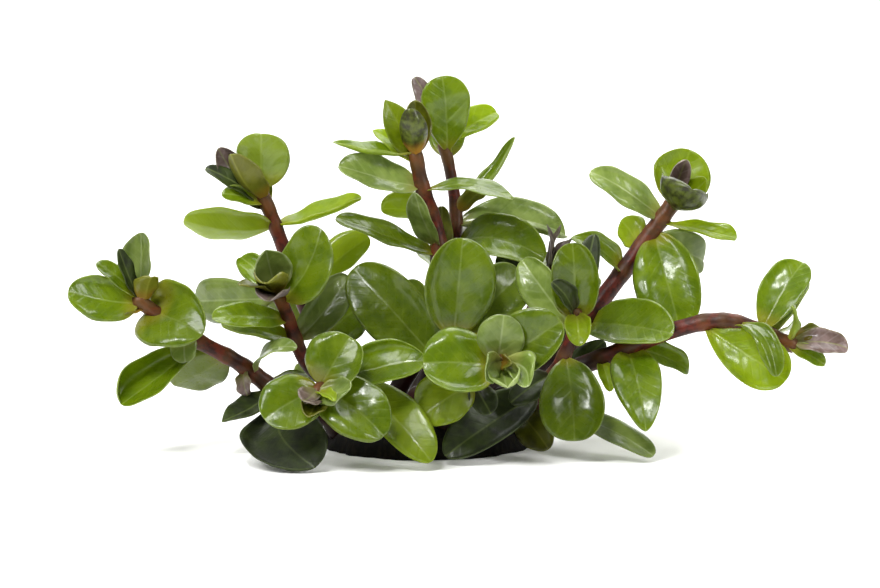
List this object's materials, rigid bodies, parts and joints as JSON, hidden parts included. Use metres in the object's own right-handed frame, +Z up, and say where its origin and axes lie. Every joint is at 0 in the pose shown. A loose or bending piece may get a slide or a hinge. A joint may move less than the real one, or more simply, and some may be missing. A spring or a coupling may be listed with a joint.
{
  "type": "orange juice rotala",
  "caption": "Bushy aquarium plant with round opposite leaves on dark red stems, cut off flat at the ground.",
  "frame": {"origin": "on the flat cut face under the crown, where the middle of the picture's view meets it", "axes": "+X to the right, +Y to the back and +Z up, seen from the front"},
  "size_m": [0.1543, 0.0797, 0.072],
  "materials": {
    "crown": "dark matte, shaded stem feet",
    "stem": "dark maroon, slightly glossy",
    "leaf_green": "glossy mid green",
    "leaf_light": "glossy yellow green",
    "leaf_grey": "glossy grey green",
    "leaf_dark": "glossy dark olive green"
  },
  "bodies": {
    "root": {"crown": "crown", "stem_far_left": "stem", "stem_upper_left": "stem", "stem_left": "stem", "stem_top_front": "stem", "stem_top_back": "stem", "stem_upper_centre": "stem", "stem_centre": "stem", "stem_front": "stem", "stem_front_left": "stem", "stem_right": "stem", "stem_upper_right": "stem", "stem_far_right": "stem", "stem_back_left": "stem", "stem_back_middle": "stem", "stem_back_right": "stem", "leaf_far_left_end": "leaf_green", "leaf_far_left_heart": "leaf_green", "leaf_far_left_drooping": "leaf_green", "leaf_far_left_arched": "leaf_grey", "leaf_far_left_low": "leaf_dark", "leaf_upper_left_round": "leaf_green", "leaf_upper_left_long": "leaf_light", "leaf_upper_left_inner": "leaf_light", "leaf_left_big": "leaf_green", "leaf_left_low": "leaf_green", "leaf_left_beneath": "leaf_green", "leaf_left_inner": "leaf_grey", "leaf_top_front_left": "leaf_grey", "leaf_top_front_arched": "leaf_green", "leaf_top_front_upright": "leaf_grey", "leaf_top_front_long": "leaf_green", "leaf_top_back_big": "leaf_green", "leaf_top_back_right": "leaf_light", "leaf_top_back_broad": "leaf_green", "leaf_top_back_far": "leaf_grey", "leaf_centre_upright": "leaf_green", "leaf_centre_left": "leaf_green", "leaf_centre_low": "leaf_light", "leaf_front_left_side": "leaf_green", "leaf_front_right_side": "leaf_green", "leaf_front_top": "leaf_grey", "leaf_front_left_top": "leaf_green", "leaf_front_left_right": "leaf_green", "leaf_front_left_left": "leaf_green", "leaf_front_left_curled": "leaf_green", "leaf_low_dark": "leaf_dark", "leaf_low_bright": "leaf_light", "leaf_low_olive": "leaf_dark", "leaf_right_big": "leaf_green", "leaf_right_left": "leaf_grey", "leaf_right_front": "leaf_green", "leaf_upper_right_left": "leaf_grey", "leaf_upper_right_right": "leaf_light", "leaf_upper_right_hanging": "leaf_green", "leaf_upper_right_low": "leaf_green", "leaf_far_right_up": "leaf_green", "leaf_far_right_front": "leaf_green", "leaf_far_right_down": "leaf_light", "leaf_far_right_drooping": "leaf_green"}
  },
  "joints": []
}
